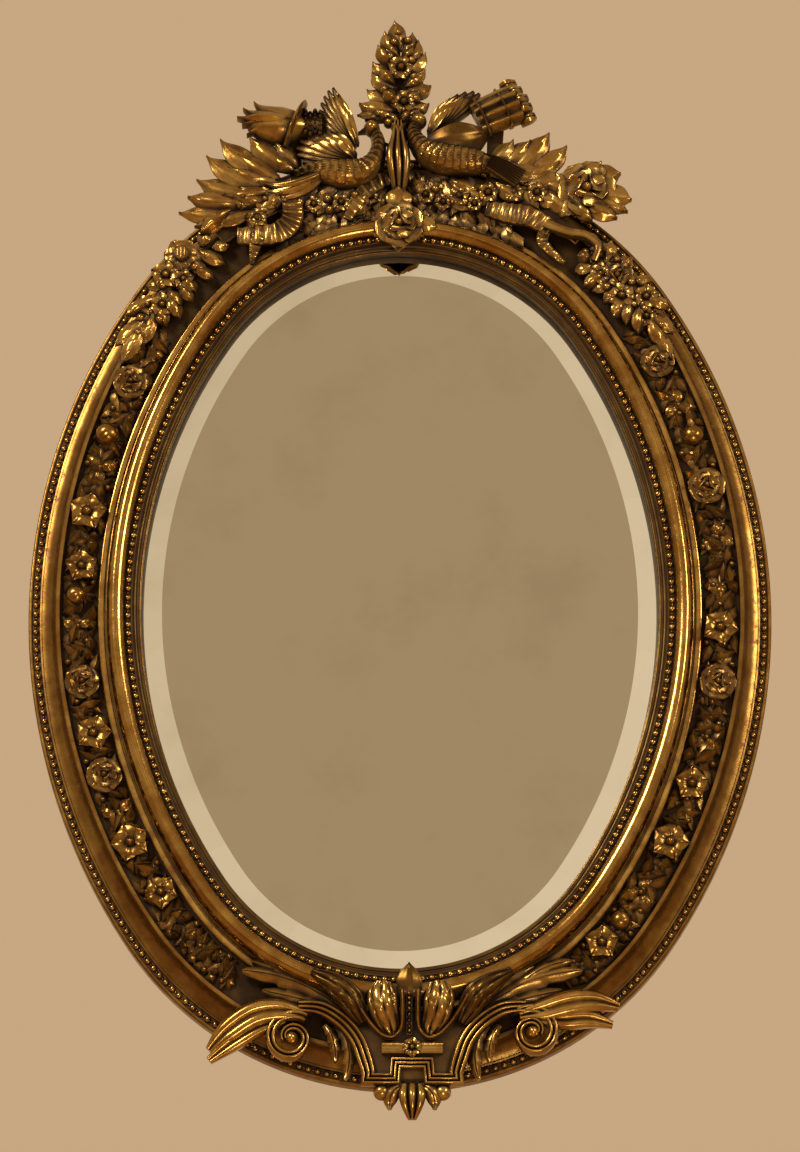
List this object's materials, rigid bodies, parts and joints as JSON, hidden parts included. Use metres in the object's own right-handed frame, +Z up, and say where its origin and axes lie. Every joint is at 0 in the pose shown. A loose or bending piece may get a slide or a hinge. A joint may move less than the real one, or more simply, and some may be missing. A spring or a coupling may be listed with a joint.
{
  "type": "oval wall mirror",
  "caption": "Oval gilt wall mirror: bevelled plate in a deep carved frame with beaded edges, a crest of two doves and a scrolled cartouche at the foot.",
  "frame": {"origin": "centre of the oval, on the backboard's rear face, which is the plane of the wall", "axes": "+Z up, +X to the right seen from the front, -Y out of the wall towards the viewer"},
  "size_m": [0.75, 0.0876, 1.1541],
  "materials": {
    "gilt_moulding": "antique water-gilt gesso, worn",
    "burnished_gilt": "burnished gold leaf",
    "toned_gilt": "dark toned gold leaf",
    "gilt_carving": "gilded carving, dark in the hollows",
    "gilt_composition": "gilded pressed composition",
    "silvered_glass": "silvered plate glass with a bevelled edge",
    "pine": "bare aged pine",
    "poplar_board": "bare board, darkened with age",
    "brass": "dull brass",
    "steel": "dull steel",
    "leather": "dark leather"
  },
  "bodies": {
    "frame": {"outer_moulding": "gilt_moulding", "outer_bead_row": "gilt_moulding", "inner_bead_row": "gilt_moulding", "burnished_round": "burnished_gilt", "sight_slip": "toned_gilt", "left_dove": "gilt_carving", "right_dove": "gilt_carving", "quiver": "gilt_carving", "torch": "gilt_carving", "torch_hoop": "gilt_carving", "centre_stem": "gilt_carving", "finial_spray": "gilt_carving", "left_leaf_spray": "gilt_carving", "right_leaf_spray": "gilt_carving", "right_rose_cluster": "gilt_carving", "left_ribbon": "gilt_carving", "centre_ribbon": "gilt_carving", "right_ribbon": "gilt_carving", "centre_rosette": "gilt_carving", "crest_garland": "gilt_carving", "left_shoulder_cluster": "gilt_carving", "right_shoulder_cluster": "gilt_carving", "strapwork": "gilt_carving", "left_scroll": "gilt_carving", "right_scroll": "gilt_carving", "cartouche_block": "gilt_carving", "left_tip_leaf": "gilt_carving", "right_tip_leaf": "gilt_carving", "left_upper_acanthus": "gilt_carving", "right_upper_acanthus": "gilt_carving", "left_side_acanthus": "gilt_carving", "right_side_acanthus": "gilt_carving", "pearl_string": "gilt_carving", "palmette_leaf": "gilt_carving", "left_inner_acanthus": "gilt_carving", "right_inner_acanthus": "gilt_carving", "left_round_acanthus": "gilt_carving", "right_round_acanthus": "gilt_carving", "blossom_plaque": "gilt_carving", "drop_acanthus": "gilt_carving", "drop_berries": "gilt_carving", "frieze_roses": "gilt_composition", "frieze_star_flowers": "gilt_composition", "frieze_fruits": "gilt_composition", "frieze_leaf_sprigs": "gilt_composition", "frieze_bud_sprays": "gilt_composition", "mirror_plate": "silvered_glass", "carcass_top": "pine", "carcass_right": "pine", "carcass_left": "pine", "carcass_bottom": "pine", "glazing_blocks": "pine", "crest_batten": "pine", "backboard": "poplar_board", "hanger_straps": "brass", "hanger_screws": "steel", "backboard_brads": "steel", "wall_bumpers": "leather"},
    "left_ring": {"left_hanger_ring": "brass"},
    "right_ring": {"right_hanger_ring": "brass"}
  },
  "joints": [
    {"name": "left_ring_swing", "type": "hinge", "parent": "frame", "child": "left_ring", "pos_m": [-0.3152, -0.0028, 0.1507], "axis": [1, 0, 0], "range_deg": [0, 180]},
    {"name": "right_ring_swing", "type": "hinge", "parent": "frame", "child": "right_ring", "pos_m": [0.3152, -0.0028, 0.1507], "axis": [1, 0, 0], "range_deg": [0, 180]}
  ]
}
